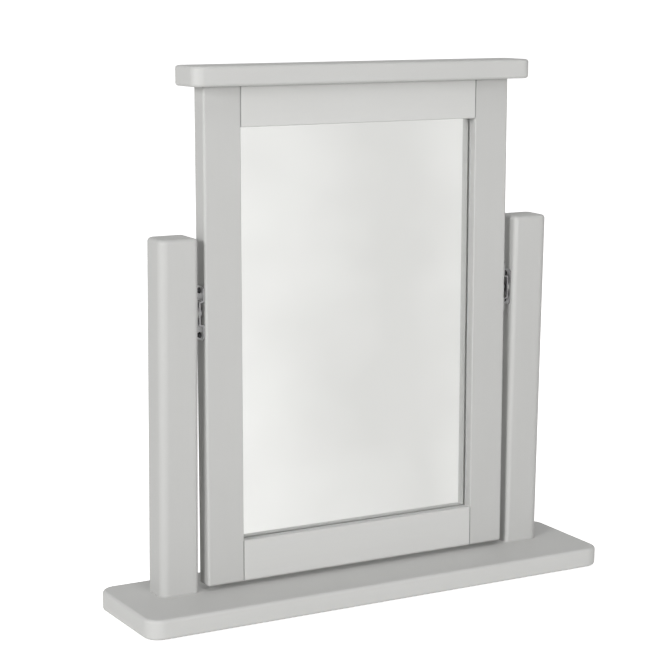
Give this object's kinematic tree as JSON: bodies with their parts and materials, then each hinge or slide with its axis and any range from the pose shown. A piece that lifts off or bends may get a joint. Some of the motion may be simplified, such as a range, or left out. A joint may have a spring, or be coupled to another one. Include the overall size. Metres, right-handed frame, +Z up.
{
  "type": "dressing table mirror",
  "caption": "Free-standing tilting mirror: a painted rebated frame with an overhanging top board, hung between square posts on a plinth by friction swivel hinges.",
  "frame": {"origin": "on the table under the middle of the plinth", "axes": "+X to the viewer's right along the plinth and along the tilt axis, +Y from the mirror's face to its back, +Z up"},
  "size_m": [0.52, 0.12, 0.5255],
  "materials": {
    "painted_wood": "light grey satin paint on hardwood",
    "back_board": "grey painted fibreboard",
    "mirror": "silvered float glass",
    "hinge_steel": "bright zinc plate",
    "screw_steel": "zinc plated screws and staples",
    "spring_steel": "blackened spring steel",
    "nylon": "natural nylon",
    "felt": "dark wool felt"
  },
  "bodies": {
    "stand": {"base_board": "painted_wood", "felt_pads": "felt", "post_screws": "screw_steel", "left_post": "painted_wood", "right_post": "painted_wood", "left_post_plate": "hinge_steel", "right_post_plate": "hinge_steel", "plate_screws": "screw_steel", "pivot_studs": "hinge_steel", "spring_washers": "spring_steel", "spacer_washers": "nylon"},
    "mirror": {"left_stile": "painted_wood", "right_stile": "painted_wood", "top_rail": "painted_wood", "bottom_rail": "painted_wood", "cornice_board": "painted_wood", "mirror_glass": "mirror", "back_panel": "back_board", "back_panel_staples": "screw_steel", "left_frame_bracket": "hinge_steel", "right_frame_bracket": "hinge_steel", "bracket_screws": "screw_steel"}
  },
  "joints": [
    {"name": "mirror_tilt", "type": "hinge", "parent": "stand", "child": "mirror", "pos_m": [0, 0.0125, 0.2935], "axis": [-1, 0, 0], "range_deg": [-165, 165]}
  ]
}
